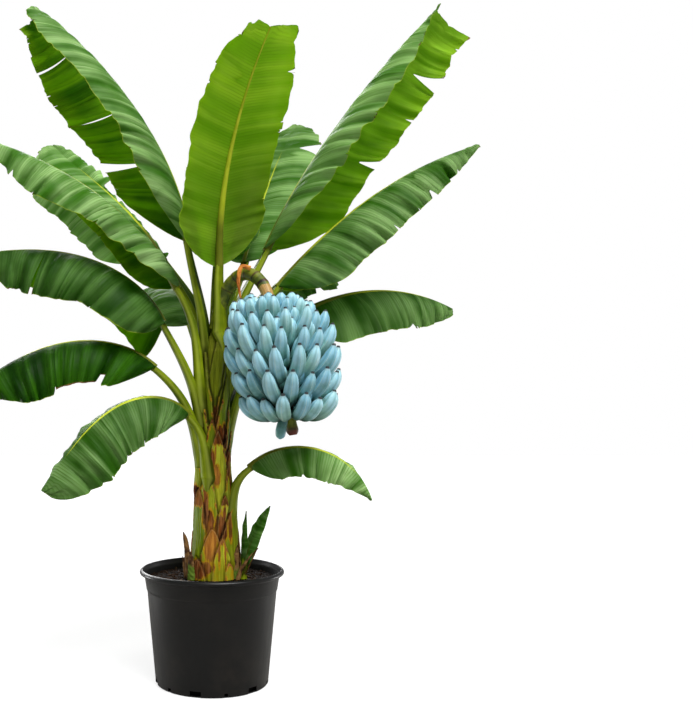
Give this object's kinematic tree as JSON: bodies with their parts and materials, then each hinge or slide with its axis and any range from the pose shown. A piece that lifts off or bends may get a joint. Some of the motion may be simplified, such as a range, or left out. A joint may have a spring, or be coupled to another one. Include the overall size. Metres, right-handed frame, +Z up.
{
  "type": "potted banana plant",
  "caption": "Fruiting banana plant in a black nursery pot: a leaning stem of leaf sheaths, a crown of large torn leaves and a hanging bunch of blue fruit.",
  "frame": {"origin": "middle of the pot's flat underside, on the surface that it stands on", "axes": "+Z up along the stem, +X to the plant's right and +Y to its back as it is seen from the front, with the bunch hanging front right"},
  "size_m": [1.6086, 0.999, 2.1077],
  "materials": {
    "pot_plastic": "satin",
    "potting_soil": "matte",
    "stem_sheath": "satin",
    "leaf_stalk": "satin",
    "leaf_blade": "satin",
    "bunch_stalk": "satin",
    "fruit_skin": "satin",
    "dry_sheath": "matte"
  },
  "bodies": {
    "root": {"pot": "pot_plastic", "soil": "potting_soil", "pseudostem": "stem_sheath", "bunch_stalk_rise": "bunch_stalk", "bunch_stalk_drop": "bunch_stalk", "rachis": "bunch_stalk", "hand_1": "fruit_skin", "hand_2": "fruit_skin", "hand_3": "fruit_skin", "hand_4": "fruit_skin", "hand_5": "fruit_skin", "hand_6": "fruit_skin", "stalk_top_mid": "leaf_stalk", "leaf_top_mid": "leaf_blade", "stalk_back_high": "leaf_stalk", "leaf_back_high": "leaf_blade", "stalk_top_left": "leaf_stalk", "leaf_top_left": "leaf_blade", "stalk_top_right": "leaf_stalk", "leaf_top_right": "leaf_blade", "stalk_back_right": "leaf_stalk", "leaf_back_right": "leaf_blade", "stalk_back_left": "leaf_stalk", "leaf_back_left": "leaf_blade", "stalk_right_high": "leaf_stalk", "leaf_right_high": "leaf_blade", "stalk_back_right_low": "leaf_stalk", "leaf_back_right_low": "leaf_blade", "stalk_back_mid": "leaf_stalk", "leaf_back_mid": "leaf_blade", "stalk_left_high": "leaf_stalk", "leaf_left_high": "leaf_blade", "stalk_left_mid": "leaf_stalk", "leaf_left_mid": "leaf_blade", "stalk_right_mid": "leaf_stalk", "leaf_right_mid": "leaf_blade", "stalk_back_low": "leaf_stalk", "leaf_back_low": "leaf_blade", "stalk_left_low": "leaf_stalk", "leaf_left_low": "leaf_blade", "stalk_left_lowest": "leaf_stalk", "leaf_left_lowest": "leaf_blade", "stalk_right_low": "leaf_stalk", "leaf_right_low": "leaf_blade", "bract_strip": "dry_sheath", "sheath_left": "dry_sheath", "sheath_right": "dry_sheath", "shoot": "leaf_blade"}
  },
  "joints": []
}
